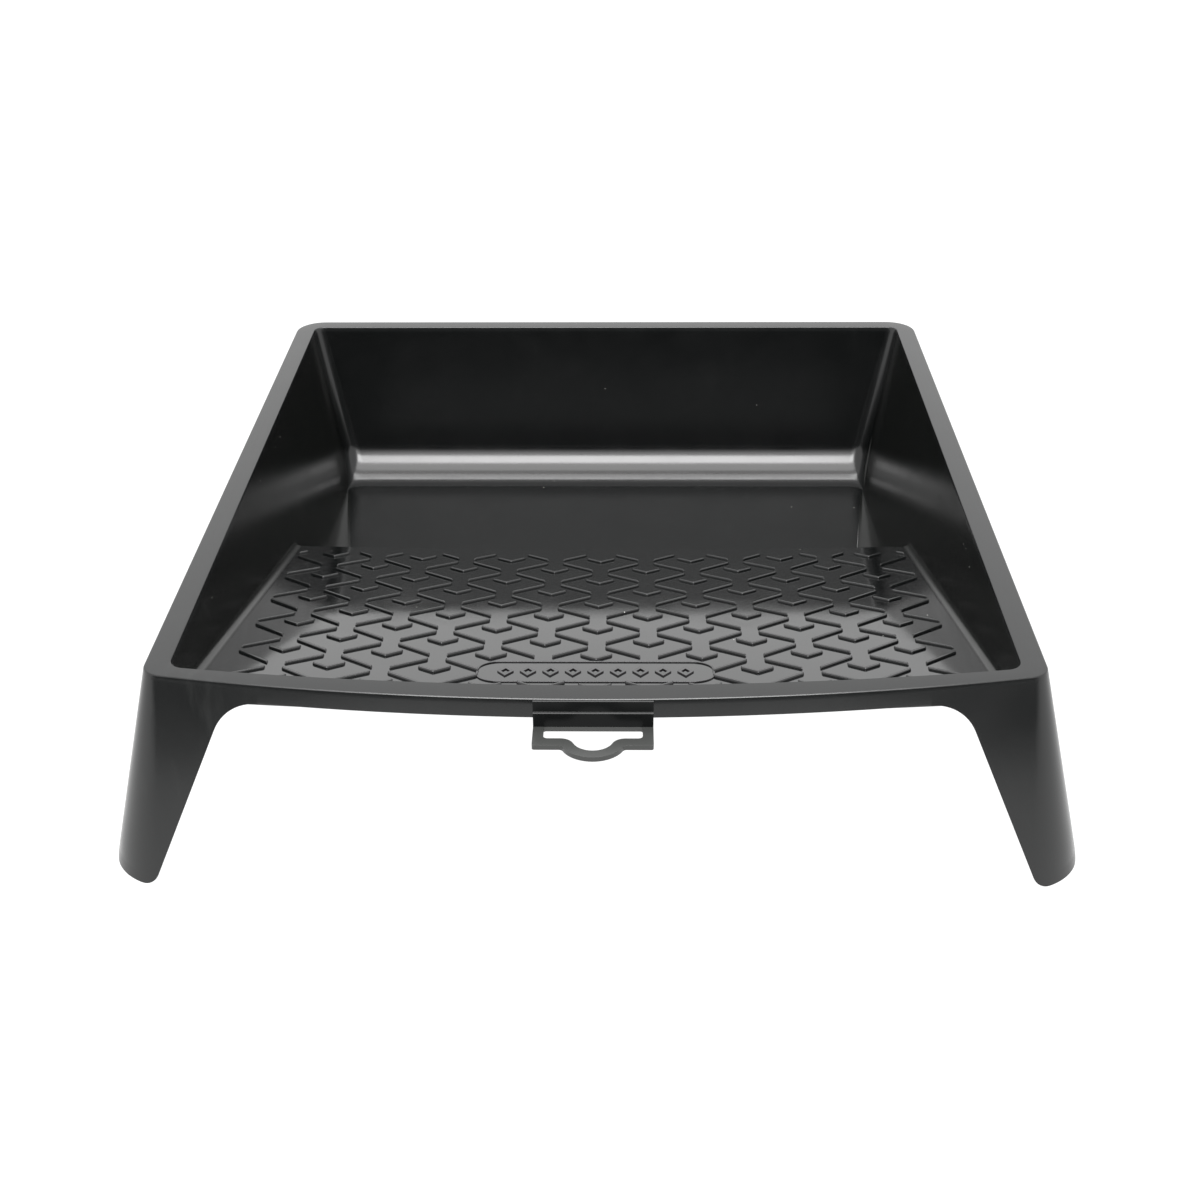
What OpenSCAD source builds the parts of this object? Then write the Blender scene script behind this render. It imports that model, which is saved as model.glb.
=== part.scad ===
// Paint roller tray: a one-shot moulding, drawn as the regions that make it up.
// +X is to the right, +Y runs from the front lip to the deep end, +Z is up, floor at Z = 0.

/* [Rim] */
// Outside width of the rim, the span that sets the tray's size
rim_w = 300; // [280:1:320]
// Length of the rim along its straight sides
rim_l = 340; // [325:1:360]
// How far the front edge bows out at its middle
front_bow = 14; // [10:0.5:16]
// Flat width of the rim along the sides
rim_side = 8.3; // [7:0.1:10]
// Flat width of the rim along the rear
rim_rear_w = 7.6; // [7:0.1:10]
// Flat width of the rim at the middle of the front edge
rim_front_w = 8.9; // [8:0.1:10]
// Depth of the skirt under the rim, the rim's own thickness included
skirt_h = 6.4; // [5:0.1:8]
// Outside radius of the front corners
front_r = 7.5; // [6:0.5:10]
// Outside radius of the rear corners
rear_r = 12.5; // [10:0.5:16]

/* [Basin] */
// Depth of the well below the rim
well_depth = 71.6; // [66:0.2:80]
// Wall thickness of the moulding
wall = 2; // [1.8:0.1:2.6]
// Draft of every basin wall, in degrees
draft = 12; // [10:0.5:13]
// Depth of the ramp below the rim at the front corners
ramp_drop = 9.9; // [9:0.1:12]
// Slope of the ramp, in degrees
ramp_angle = 11; // [9:0.5:12]
// Distance from the front corners to the middle of the ramp's far edge
ramp_end = 182.4; // [170:0.2:195]
// How far the ends of the far edge lie behind its middle
ramp_end_bow = 4.6; // [2:0.1:6]
// Radius between the well floor and the rear wall
rear_fillet = 20; // [10:0.5:22]

/* [Ribs] */
// Spacing of the rib columns across the ramp
rib_pitch = 18.75; // [17:0.05:20]
// Spacing of the rib rows along the slope
rib_row = 15.28; // [14:0.02:17]
// Width of a rib
rib_w = 1.4; // [1:0.1:1.8]
// Height of a rib
rib_h = 0.7; // [0.4:0.1:1]
// How far the ribs stop short of each crossing
rib_gap = 3.1; // [2.5:0.1:4]

/* [Legs and tab] */
// Outward slope of the skirt and the legs, in degrees
flare = 13.3; // [10:0.1:15]
// Width across the front of a leg at the skirt's lower edge
leg_top = 29; // [26:0.2:34]
// Lean of a leg's inner edge from upright, in degrees
leg_lean = 23.4; // [20:0.1:25]
// Radius between a leg and the skirt
leg_fillet = 16.6; // [12:0.2:18]
// Outside radius of the corner at the foot of a leg
foot_r = 24; // [16:0.5:26]
// Radius between the foot and a leg's inner edge
foot_round = 7; // [3:0.5:8]
// Width of the hanging tab
tab_w = 39; // [37:0.5:42]
// Length of the hanging slot, a standard euro slot
slot_l = 32; // [30:0.5:32]
// Thickness of the hanging tab
tab_t = 1.7; // [1.5:0.1:2.2]

/* [Hidden] */

plastic = "#2c2d2e";
plastic_ribs = "#37383a";

// heights and the middle of the overall length
rim_h = well_depth + wall;
rib_cos = cos(ramp_angle);
web_y = -front_bow;                  // front face of the tab's web
tab_drop = 9.8;                      // top of the tab below the rim
tab_step = 0.5;                      // the web's lower half stands this proud
slot_y = web_y - tab_step - 0.8;     // rear edge of the slot
slot_w = 6.6;                        // width of the slot's straight part
tab_bar = 4.3;                       // width of the tab's front bar
bulge_y = slot_y - 8;                // centre of the slot's round middle
bulge_in = 6.7;                      // radius of that middle
bulge_out = 10.7;                    // radius of the tab round it
tab_tip = bulge_y - bulge_out;
rear_edge = rim_l + skirt_h * tan(flare);
mid_y = (rear_edge + tab_tip) / 2;

// front edge: outer arc through the corners, inner arc with its own bow
bow_half = rim_w / 2 - front_r;
arc_r = (bow_half * bow_half + front_bow * front_bow) / (2 * front_bow);
in_w = rim_w / 2 - rim_side;
in_front = rim_front_w - front_bow;
in_bow = 10.3;
in_bow_half = in_w - 5.8;
in_arc_r = (in_bow_half * in_bow_half + in_bow * in_bow) / (2 * in_bow);
in_rear = rim_l - rim_rear_w;

// the ramp's far edge and the step below it
ramp_end_z = rim_h - ramp_drop - ramp_end * tan(ramp_angle);
edge_half = in_w - 8;
step_r = (edge_half * edge_half + ramp_end_bow * ramp_end_bow) / (2 * ramp_end_bow);

// rib layout, in the ramp's own plane
rib_first = 27;                      // crossing at the middle of the badge
rib_bow = 8.8;                       // rows bow forward by this much at bow_at
bow_at = 112.5;
columns = 7;                         // rib columns each side of the middle
rows = 9;                            // last row of cells, at the far edge
chevron_x = 5.7;                     // half width of a chevron
chevron_s = 4.7;                     // its height along the slope
badge_w = 82.5;
badge_near = 19;
badge_far = 39.5;
badge_r = 8;
badge_line = 0.5;

far = 260;                           // reach of the cutting solids
big_fn = 720;                        // facets of the wide, shallow arcs
cut_front = 12;                      // where the front rim ends
cut_rear = 14;                       // where the rear rim begins, from the rear edge
leg_side_top = 30;                   // width of a leg along the side, at the skirt

function ramp_z(y) = rim_h - ramp_drop - y * tan(ramp_angle);
function rear_in(z) = in_rear - (rim_h - z) * tan(draft);
function unit(v) = v / norm(v);

// points of an arc round c, from angle a0 to a1
function arc(c, r, a0, a1, n = 12) =
  [for (i = [0:n]) c + r * [cos(a0 + (a1 - a0) * i / n), sin(a0 + (a1 - a0) * i / n)]];

// points that round the corner b of the path a, b, c
function corner(a, b, c, r, n = 8) =
  let (
    u = unit(a - b),
    v = unit(c - b),
    half = acos(u * v) / 2,
    mid = b + unit(u + v) * r / sin(half),
    s = b + u * r / tan(half) - mid,
    e = b + v * r / tan(half) - mid,
    a0 = atan2(s[1], s[0]),
    turn = atan2(s[0] * e[1] - s[1] * e[0], s * e)
  ) arc(mid, r, a0, a0 + turn, n);

// outline of the rim seen from above: bowed front, straight sides and rear
function outline(o, r_front, r_rear) =
  let (
    w = rim_w / 2 + o,
    rear = rim_l + o,
    r = arc_r + o,
    cy = arc_r - front_bow,
    fy = cy - sqrt(pow(r - r_front, 2) - pow(w - r_front, 2)),
    at = atan2(fy - cy, w - r_front)
  ) concat(
    arc([0, cy], r, -180 - at, at, 32),
    arc([w - r_front, fy], r_front, at, 0),
    arc([w - r_rear, rear - r_rear], r_rear, 0, 90),
    arc([-w + r_rear, rear - r_rear], r_rear, 90, 180),
    arc([-w + r_front, fy], r_front, 180, 180 - at)
  );

// everything is drawn with Y = 0 at the front corners, then centred on the length
module centred() {
  translate([0, -mid_y, 0]) children();
}

// a profile in the Y-Z plane, drawn right across the tray
module across(points) {
  translate([-far, 0, 0]) rotate([90, 0, 90]) linear_extrude(2 * far) polygon(points);
}

// a profile in the X-Z plane, drawn from front to rear
module along(points) {
  translate([0, rim_l + 60, 0]) rotate([90, 0, 0]) linear_extrude(rim_l + 160) polygon(points);
}

// the drafted outside of the tray between two heights, thinned by inset
module outside(z0, z1, inset) {
  hull() {
    for (z = [z0, z1 - 0.01]) {
      o = (rim_h - z) * tan(flare);
      r = front_r + (foot_r - front_r) * (rim_h - z) / rim_h;
      translate([0, 0, z]) linear_extrude(0.01) polygon(outline(o - inset, r - inset, rear_r + o - inset));
    }
  }
}

module skin(z0, z1) {
  difference() {
    outside(z0, z1, 0);
    outside(z0 - 1, z1 + 1, wall / cos(flare));
  }
}

// space between the side walls, grown outwards by o
module between_sides(o) {
  w = in_w + o / cos(draft);
  top = w + 10 * tan(draft);
  low = w - (rim_h + 10) * tan(draft);
  along([[-low, -10], [low, -10], [top, rim_h + 10], [-top, rim_h + 10]]);
}

// space behind the drafted, bowed front wall, grown forwards by o
module behind_front(o) {
  r = in_arc_r + o / cos(draft);
  translate([0, in_front + in_arc_r, -10])
    cylinder(h = rim_h + 20, r1 = r - (rim_h + 10) * tan(draft), r2 = r + 10 * tan(draft), $fn = big_fn);
}

// space behind the step at the end of the ramp, grown forwards by o
module behind_step(o) {
  r = step_r + o / cos(draft);
  translate([0, ramp_end + step_r, -10])
    cylinder(
      h = rim_h + 20,
      r1 = r - (ramp_end_z + 10) * tan(draft),
      r2 = r + (rim_h + 10 - ramp_end_z) * tan(draft),
      $fn = big_fn
    );
}

// the whole basin opening, for cutting the rim
module opening() {
  intersection() {
    between_sides(0);
    behind_front(0);
    across([[-40, rim_h - 20], [rear_in(rim_h - 20), rim_h - 20], [rear_in(rim_h + 5), rim_h + 5], [-40, rim_h + 5]]);
  }
}

module rim_plate(y0, y1, x0, x1) {
  color(plastic) centred() intersection() {
    difference() {
      outside(rim_h - wall, rim_h, 0);
      opening();
    }
    translate([x0, y0, rim_h - 20]) cube([x1 - x0, y1 - y0, 40]);
  }
}

module rim_front() { rim_plate(-far, cut_front, -far, far); }
module rim_rear() { rim_plate(rim_l - cut_rear, rim_l + far, -far, far); }
module rim_left() { rim_plate(cut_front, rim_l - cut_rear, -far, 0); }
module rim_right() { rim_plate(cut_front, rim_l - cut_rear, 0, far); }

// the short upstand between the rim's inner front edge and the ramp
module front_wall() {
  t = wall / rib_cos;
  color(plastic) centred() intersection() {
    difference() {
      behind_front(wall);
      behind_front(0);
    }
    between_sides(0);
    across([[-40, ramp_z(-40) - t], [40, ramp_z(40) - t], [40, rim_h - wall], [-40, rim_h - wall]]);
  }
}

module ramp() {
  t = wall / rib_cos;
  color(plastic) centred() difference() {
    intersection() {
      across([[-40, ramp_z(-40)], [-40, ramp_z(-40) - t], [215, ramp_z(215) - t], [215, ramp_z(215)]]);
      between_sides(0);
      behind_front(0);
    }
    behind_step(0);
  }
}

module well_step() {
  t = wall / rib_cos;
  color(plastic) centred() intersection() {
    difference() {
      behind_step(wall);
      behind_step(0);
    }
    between_sides(0);
    across([[150, 0], [215, 0], [215, ramp_z(215) - t], [150, ramp_z(150) - t]]);
  }
}

// centre line of the fillet at the foot of the rear wall
fillet_z = wall + rear_fillet;
fillet_y = rear_in(fillet_z - rear_fillet * sin(draft)) - rear_fillet * cos(draft);

module well_floor() {
  color(plastic) centred() intersection() {
    behind_step(0);
    between_sides(0);
    across([[150, 0], [fillet_y, 0], [fillet_y, wall], [150, wall]]);
  }
}

module rear_wall() {
  top = rim_h - wall;
  color(plastic) centred() intersection() {
    across(concat(
      [[rear_in(top) + wall / cos(draft), top], [rear_in(top), top]],
      arc([fillet_y, fillet_z], rear_fillet, -draft, -90),
      arc([fillet_y, fillet_z], rear_fillet + wall, -90, -draft)
    ));
    between_sides(0);
  }
}

// a side wall stands outside the ramp and the well, and follows their undersides
module side_wall(side) {
  t = wall / rib_cos;
  top = rim_h - wall;
  end = ramp_end + ramp_end_bow;
  foot = end + ramp_end_z * tan(draft) - wall;
  outer = rear_fillet + wall;
  color(plastic) centred() intersection() {
    difference() {
      between_sides(wall);
      between_sides(0);
    }
    behind_front(wall);
    across(concat(
      [[-40, top], [-40, ramp_z(-40) - t], [end - wall, ramp_z(end - wall) - t], [foot, 0]],
      arc([fillet_y, fillet_z], outer, -90, -draft),
      [[rear_in(top) + wall / cos(draft), top]]
    ));
    translate([side > 0 ? 0 : -far, -far, -1]) cube([far, 4 * far, far]);
  }
}

module left_wall() { side_wall(-1); }
module right_wall() { side_wall(1); }

// draws in the ramp's plane: X across, Y up the slope away from the front, Z off the surface
module on_ramp() {
  centred() translate([0, 0, ramp_z(0)]) rotate([-ramp_angle, 0, 0]) children();
}

function row_bow(x) = rib_bow * pow(x / bow_at, 2);
function near_limit(x) = (in_front + 3.5 + x * x / (2 * in_arc_r)) / rib_cos;
function far_limit(x) = (ramp_end - 10.8 + 6.3 * pow(x / 128, 2)) / rib_cos;

// one straight rib from a to b, its ends cut square to the columns
module rib(a, b) {
  up = [0, rib_w / 2 / cos(atan2(b[1] - a[1], b[0] - a[0]))];
  linear_extrude(rib_h) polygon([a - up, b - up, b + up, a + up]);
}

// the same rib, kept between two limits along the slope
module kept_rib(a, b, near, away) {
  rise = b[1] - a[1];
  t0 = (near - a[1]) / rise;
  t1 = (away - a[1]) / rise;
  from = max(0, min(t0, t1));
  to = min(1, max(t0, t1));
  if (to - from > 0.08) rib(a + (b - a) * from, a + (b - a) * to);
}

module zigzag_ribs() {
  trim = rib_gap / rib_pitch;
  color(plastic_ribs) on_ramp()
    for (j = [-columns:columns - 1], m = [-2:rows]) {
      rising = (j + m) % 2 == 0;
      low = rib_first + (m + trim) * rib_row;
      high = rib_first + (m + 1 - trim) * rib_row;
      xa = j * rib_pitch + rib_gap;
      xb = (j + 1) * rib_pitch - rib_gap;
      a = [xa, (rising ? low : high) + row_bow(xa)];
      b = [xb, (rising ? high : low) + row_bow(xb)];
      xm = (xa + xb) / 2;
      over_badge = j >= -2 && j <= 1;
      near = over_badge && m >= 0 ? (badge_far + 0.6) / rib_cos : near_limit(xm);
      away = over_badge && m < 0 ? (badge_near - 0.6) / rib_cos : far_limit(xm);
      kept_rib(a, b, near, away);
    }
}

module chevron_ribs() {
  color(plastic_ribs) on_ramp()
    for (k = [1 - columns:columns - 1], m = [-1:rows]) {
      x = k * rib_pitch;
      tip = [x, rib_first + m * rib_row + row_bow(x)];
      inside_badge = abs(k) < 2 && m == 0;
      clear = tip[1] + chevron_s > near_limit(x) && tip[1] + chevron_s < far_limit(x) + 2;
      if ((k + m) % 2 != 0 && clear && !inside_badge)
        for (side = [-1, 1]) kept_rib(tip, tip + [side * chevron_x, chevron_s], near_limit(x), far);
    }
}

// rounded frame on the ramp near the front lip
module badge_outline(grow) {
  w = badge_w / 2 + grow;
  y0 = badge_near / rib_cos - grow;
  y1 = badge_far / rib_cos + grow;
  r = badge_r + grow;
  polygon(concat(
    arc([w - r, y0 + r], r, -90, 0),
    arc([w - r, y1 - r], r, 0, 90),
    arc([-w + r, y1 - r], r, 90, 180),
    arc([-w + r, y0 + r], r, 180, 270)
  ));
}

module badge_border() {
  color(plastic_ribs) on_ramp() linear_extrude(rib_h * 0.6) difference() {
    badge_outline(0);
    badge_outline(-badge_line);
  }
}

// plain lozenges in a row inside the frame
module badge_lozenges() {
  step = 7.8;
  middle = (badge_near + badge_far) / 2 / rib_cos;
  color(plastic_ribs) on_ramp() linear_extrude(rib_h * 0.7)
    for (i = [-4:4])
      translate([i * step, middle]) difference() {
        polygon([[-2.9, 0], [0, -4.8], [2.9, 0], [0, 4.8]]);
        polygon([[-1.5, 0], [0, -2.5], [1.5, 0], [0, 2.5]]);
      }
}

leg_in = rim_w / 2 - leg_top;
skirt_low = rim_h - skirt_h;
leg_reach = leg_fillet * tan((90 - leg_lean) / 2);   // fillet's length along the skirt
apron_end = leg_in - leg_reach;
leg_side_end = leg_side_top + leg_reach;

// outline of a leg seen square on: edge is where its inner edge meets the skirt's lower edge
function leg_profile(edge, outer) =
  let (
    top = [edge, skirt_low],
    foot = [edge + skirt_low * tan(leg_lean), 0],
    along_skirt = [edge - 40, skirt_low]
  ) concat(
    [[outer, 0]],
    corner([outer, 0], foot, top, foot_round),
    corner(foot, top, along_skirt, leg_fillet, 12),
    [[edge - leg_reach, rim_h - wall], [outer, rim_h - wall]]
  );

// legs are corner shells that taper down from the skirt
module leg(side) {
  color(plastic) centred() intersection() {
    skin(0, rim_h - wall);
    scale([side, 1, 1]) along(leg_profile(leg_in, 200));
    across([for (p = leg_profile(-leg_side_top, 80)) [-p[0], p[1]]]);
  }
}

module left_leg() { leg(-1); }
module right_leg() { leg(1); }

module skirt(x0, x1, y0, y1) {
  color(plastic) centred() intersection() {
    skin(skirt_low, rim_h - wall);
    translate([x0, y0, 0]) cube([x1 - x0, y1 - y0, rim_h]);
  }
}

module apron_left() { skirt(-apron_end, -tab_w / 2, -60, 60); }
module apron_right() { skirt(tab_w / 2, apron_end, -60, 60); }
module skirt_left() { skirt(-far, 0, leg_side_end, rim_l - cut_rear); }
module skirt_right() { skirt(0, far, leg_side_end, rim_l - cut_rear); }
module skirt_rear() { skirt(-far, far, rim_l - cut_rear, rim_l + 60); }

// upright web that carries the hanging tab, its lower half a little proud
module tab_web() {
  low = rim_h - tab_drop;
  half = (rim_h + low) / 2 - 0.2;
  color(plastic) centred() translate([-tab_w / 2, 0, 0]) rotate([90, 0, 90]) linear_extrude(tab_w)
    polygon([
      [web_y, rim_h - wall], [web_y, half], [web_y - tab_step, half - 0.3],
      [web_y - tab_step, low], [web_y + wall, low], [web_y + wall, rim_h - wall]
    ]);
}

// round middle of the tab or the slot: a line at y that blends into the bulge circle
function bulge(y, r, blend) =
  let (
    dy = bulge_y - (y - blend),
    dx = sqrt(pow(r + blend, 2) - dy * dy),
    a = atan2(dy, dx)
  ) concat(
    arc([dx, y - blend], blend, 90, 180 - a, 6),
    arc([0, bulge_y], r, -a, a - 180, 24),
    arc([-dx, y - blend], blend, a, 90, 6)
  );

module hang_tab() {
  w = tab_w / 2;
  s = slot_l / 2;
  front = slot_y - slot_w - tab_bar;
  color(plastic) centred() translate([0, 0, rim_h - tab_drop - tab_t]) linear_extrude(tab_t) difference() {
    polygon(concat(
      [[-w, web_y + wall], [w, web_y + wall]],
      corner([w, web_y], [w, front], [0, front], 0.8),
      bulge(front, bulge_out, 1.5),
      corner([0, front], [-w, front], [-w, web_y], 0.8)
    ));
    polygon(concat(
      corner([-s, slot_y - 5], [-s, slot_y], [0, slot_y], 0.8),
      corner([0, slot_y], [s, slot_y], [s, slot_y - 5], 0.8),
      corner([s, slot_y], [s, slot_y - slot_w], [0, slot_y - slot_w], 1.4),
      bulge(slot_y - slot_w, bulge_in, 4.5),
      corner([0, slot_y - slot_w], [-s, slot_y - slot_w], [-s, slot_y], 1.4)
    ));
  }
}

rim_front();
rim_rear();
rim_left();
rim_right();
front_wall();
rear_wall();
left_wall();
right_wall();
ramp();
well_step();
well_floor();
zigzag_ribs();
chevron_ribs();
badge_border();
badge_lozenges();
apron_left();
apron_right();
skirt_left();
skirt_right();
skirt_rear();
left_leg();
right_leg();
tab_web();
hang_tab();
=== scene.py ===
# Looks of the paint roller tray: every moulded region, its finish, the light and the camera.
import math

import bmesh
import bpy
from mathutils import Matrix, Vector


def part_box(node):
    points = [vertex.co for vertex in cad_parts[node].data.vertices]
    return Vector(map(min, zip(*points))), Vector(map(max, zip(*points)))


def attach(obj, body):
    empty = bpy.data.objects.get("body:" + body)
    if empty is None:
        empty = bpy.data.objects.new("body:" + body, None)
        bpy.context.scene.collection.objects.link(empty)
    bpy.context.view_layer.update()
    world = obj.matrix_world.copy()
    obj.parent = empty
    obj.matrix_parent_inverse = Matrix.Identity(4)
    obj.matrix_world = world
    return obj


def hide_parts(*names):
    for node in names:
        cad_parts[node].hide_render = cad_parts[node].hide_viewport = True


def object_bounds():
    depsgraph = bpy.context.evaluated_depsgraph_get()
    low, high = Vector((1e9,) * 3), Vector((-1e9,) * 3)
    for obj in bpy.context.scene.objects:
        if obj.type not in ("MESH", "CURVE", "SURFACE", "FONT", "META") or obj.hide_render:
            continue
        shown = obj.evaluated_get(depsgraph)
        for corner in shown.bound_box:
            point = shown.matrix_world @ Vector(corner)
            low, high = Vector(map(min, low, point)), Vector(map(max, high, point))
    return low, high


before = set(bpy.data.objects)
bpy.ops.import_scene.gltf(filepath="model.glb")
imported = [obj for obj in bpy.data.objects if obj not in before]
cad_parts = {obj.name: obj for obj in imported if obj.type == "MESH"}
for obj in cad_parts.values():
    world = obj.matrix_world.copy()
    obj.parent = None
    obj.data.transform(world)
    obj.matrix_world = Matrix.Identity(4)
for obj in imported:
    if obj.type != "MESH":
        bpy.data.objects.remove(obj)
cad_low, cad_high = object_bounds()

MM = 0.001

# The tray is drawn in millimetres, Y = 0 at its front corners and Z = 0 on the floor.
RIM_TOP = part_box("rim_left")[1].z / MM
REAR_EDGE = 341.513
MIDDLE = REAR_EDGE - cad_high.y / MM

# How far, in degrees, the basin's walls, the outside and the ramp lean.
DRAFT_ANGLE = 12
FLARE_ANGLE = 13.3
SLOPE_ANGLE = 11
DRAFT = math.tan(math.radians(DRAFT_ANGLE))
DRAFT_COS = math.cos(math.radians(DRAFT_ANGLE))
FLARE = math.tan(math.radians(FLARE_ANGLE))
SLOPE = math.tan(math.radians(SLOPE_ANGLE))
SLOPE_COS = math.cos(math.radians(SLOPE_ANGLE))

# The moulding is WALL thick. The next three are that thickness measured level through the
# outside, level through the basin's walls, and upright through the ramp.
WALL = 2.0
SKIN = WALL / math.cos(math.radians(FLARE_ANGLE))
SHELL = WALL / DRAFT_COS
FLOOR_SKIN = WALL / SLOPE_COS

HALF_WIDTH = 150.0
LENGTH = 340.0
FRONT_BOW = 14.0
FRONT_RADIUS = 7.5
FOOT_RADIUS = 24.0
REAR_RADIUS = 12.5
FRONT_ARC = 732.2
FRONT_ARC_Y = FRONT_ARC - FRONT_BOW

BASIN_HALF = 141.7
BASIN_FRONT = -5.1
BASIN_ARC = 901.7
BASIN_ARC_Y = BASIN_FRONT + BASIN_ARC
BASIN_REAR = 332.4
BASIN_FRONT_RADIUS = 5.8
BASIN_REAR_RADIUS = 5.0

# Where the rim's straight sides start and end. The basin's side walls start there too.
FRONT_CUT = 12.0
REAR_CUT = 326.0

SKIRT_LOW = RIM_TOP - 6.4
RAMP_DROP = 9.9
RAMP_END = 182.4
RAMP_END_Z = RIM_TOP - RAMP_DROP - RAMP_END * SLOPE
RAMP_SIDE_END = 186.9
RAMP_END_HALF = 130
STEP_HALF = 133.7
STEP_BOW = 4.6
STEP_ARC = (STEP_HALF ** 2 + STEP_BOW ** 2) / (2 * STEP_BOW)
FOOT_FILLET = 3.3
FOOT_STEPS = 8
EDGE_ROUND = 0.45
TAB_HALF = 19.5

# Half the angle inside the corner between a leaning wall and a level floor.
FOOT_HALF_ANGLE = (90 + DRAFT_ANGLE) / 2
# A gap too thin to see, which keeps neighbouring sections from being merged.
HAIRLINE = 0.001


# ---- drawing helpers

def place(point):
    return Vector((point[0], point[1] - MIDDLE, point[2])) * MM


def arc(centre, radius, start, end, count):
    """Points round centre, from one angle to another, in degrees."""
    angles = [math.radians(start + (end - start) * i / count) for i in range(count + 1)]
    return [(centre[0] + radius * math.cos(a), centre[1] + radius * math.sin(a)) for a in angles]


def rounded(before, corner, after, radius, count):
    """Points that round a corner. Of before and after, only the direction from the corner counts."""
    b = Vector(corner)
    u = (Vector(before) - b).normalized()
    v = (Vector(after) - b).normalized()
    half = math.acos(max(-1, min(1, u.dot(v)))) / 2
    middle = b + (u + v).normalized() * radius / math.sin(half)
    s = b + u * radius / math.tan(half) - middle
    e = b + v * radius / math.tan(half) - middle
    start = math.atan2(s.y, s.x)
    turn = math.atan2(s.x * e.y - s.y * e.x, s.dot(e))
    return arc(middle, radius, math.degrees(start), math.degrees(start + turn), count)


def loft(bm, sections):
    """A closed solid through outlines with equal numbers of points, filled at its two ends only."""
    first = bm.faces.new([bm.verts.new(place(p)) for p in sections[0]])
    end = first
    for outline in sections[1:]:
        made = bmesh.ops.extrude_face_region(bm, geom=[end])["geom"]
        if end is not first:
            bm.faces.remove(end)
        end = [f for f in made if isinstance(f, bmesh.types.BMFace)][0]
        for vert, point in zip(end.verts, outline):
            vert.co = place(point)


def mirrored(sections):
    return [[(-p[0], p[1], p[2]) for p in section] for section in sections]


def soften(bm, width, wanted):
    """Rounds the sharp edges that wanted picks."""
    edges = [e for e in bm.edges if e.calc_face_angle(0) > math.radians(40) and wanted(e)]
    bmesh.ops.bevel(
        bm, geom=edges, offset=width * MM, offset_type="OFFSET", segments=2,
        profile=0.5, affect="EDGES", material=-1, clamp_overlap=True,
    )


def finish_piece(name, bm, node, material):
    """Turns the solids into a piece that stands for one region of the moulding."""
    bmesh.ops.remove_doubles(bm, verts=bm.verts, dist=1e-7)
    bmesh.ops.recalc_face_normals(bm, faces=bm.faces)
    mesh = bpy.data.meshes.new(name)
    bm.to_mesh(mesh)
    bm.free()
    mesh.shade_smooth()
    mesh.set_sharp_from_angle(angle=math.radians(32))
    mesh.materials.append(material)
    piece = bpy.data.objects.new(name, mesh)
    bpy.context.scene.collection.objects.link(piece)
    normals = piece.modifiers.new("flat faces stay flat", "WEIGHTED_NORMAL")
    normals.keep_sharp = True
    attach(piece, "root")
    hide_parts(node)


# ---- outlines of the rim and the basin at a height

def depth(z):
    return RIM_TOP - z


def corner_y(arc_y, radius, half, corner):
    """Place along the tray of the centre of a front corner's radius."""
    return arc_y - math.sqrt((radius - corner) ** 2 - (half - corner) ** 2)


def front_path(half, arc_y, radius, corner, end_y):
    """From the left side at end_y, round the bowed front, to the right side."""
    y = corner_y(arc_y, radius, half, corner)
    at = math.degrees(math.atan2(y - arc_y, half - corner))
    path = [(-half, end_y)]
    path += arc((-half + corner, y), corner, 180, 180 - at, 10)
    path += arc((0, arc_y), radius, -180 - at, at, 56)[1:-1]
    path += arc((half - corner, y), corner, at, 0, 10)
    return path + [(half, end_y)]


def rear_path(half, rear, corner, start_y):
    """From the left side at start_y, round the rear, to the right side."""
    path = [(-half, start_y)]
    path += arc((-half + corner, rear - corner), corner, 180, 90, 12)
    path += arc((half - corner, rear - corner), corner, 90, 0, 12)
    return path + [(half, start_y)]


def at_height(path, z):
    return [(x, y, z) for x, y in path]


def outer_radius(z):
    """Radius of the outside's front corners, which widens down the legs."""
    return FRONT_RADIUS + (FOOT_RADIUS - FRONT_RADIUS) * depth(z) / RIM_TOP


def outside_front(z):
    o = depth(z) * FLARE
    corner = outer_radius(z)
    return at_height(front_path(HALF_WIDTH + o, FRONT_ARC_Y, FRONT_ARC + o, corner, FRONT_CUT), z)


def outside_rear(z, inset=0.0):
    o = depth(z) * FLARE - inset
    return at_height(rear_path(HALF_WIDTH + o, LENGTH + o, REAR_RADIUS + o, REAR_CUT), z)


def basin_front(z):
    d = depth(z) * DRAFT
    corner = BASIN_FRONT_RADIUS - d
    return at_height(front_path(BASIN_HALF - d, BASIN_ARC_Y, BASIN_ARC - d, corner, FRONT_CUT), z)


def basin_rear(z):
    d = depth(z) * DRAFT
    return at_height(rear_path(BASIN_HALF - d, BASIN_REAR - d, BASIN_REAR_RADIUS, REAR_CUT), z)


def basin_half(z):
    return BASIN_HALF - depth(z) * DRAFT


def ramp_z(y):
    return RIM_TOP - RAMP_DROP - y * SLOPE


def towards(a, b, distance):
    """The point at a distance from a on the way to b, seen from above."""
    d = Vector((b[0] - a[0], b[1] - a[1])).normalized() * distance
    return (a[0] + d.x, a[1] + d.y)


# ---- rim

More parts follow.
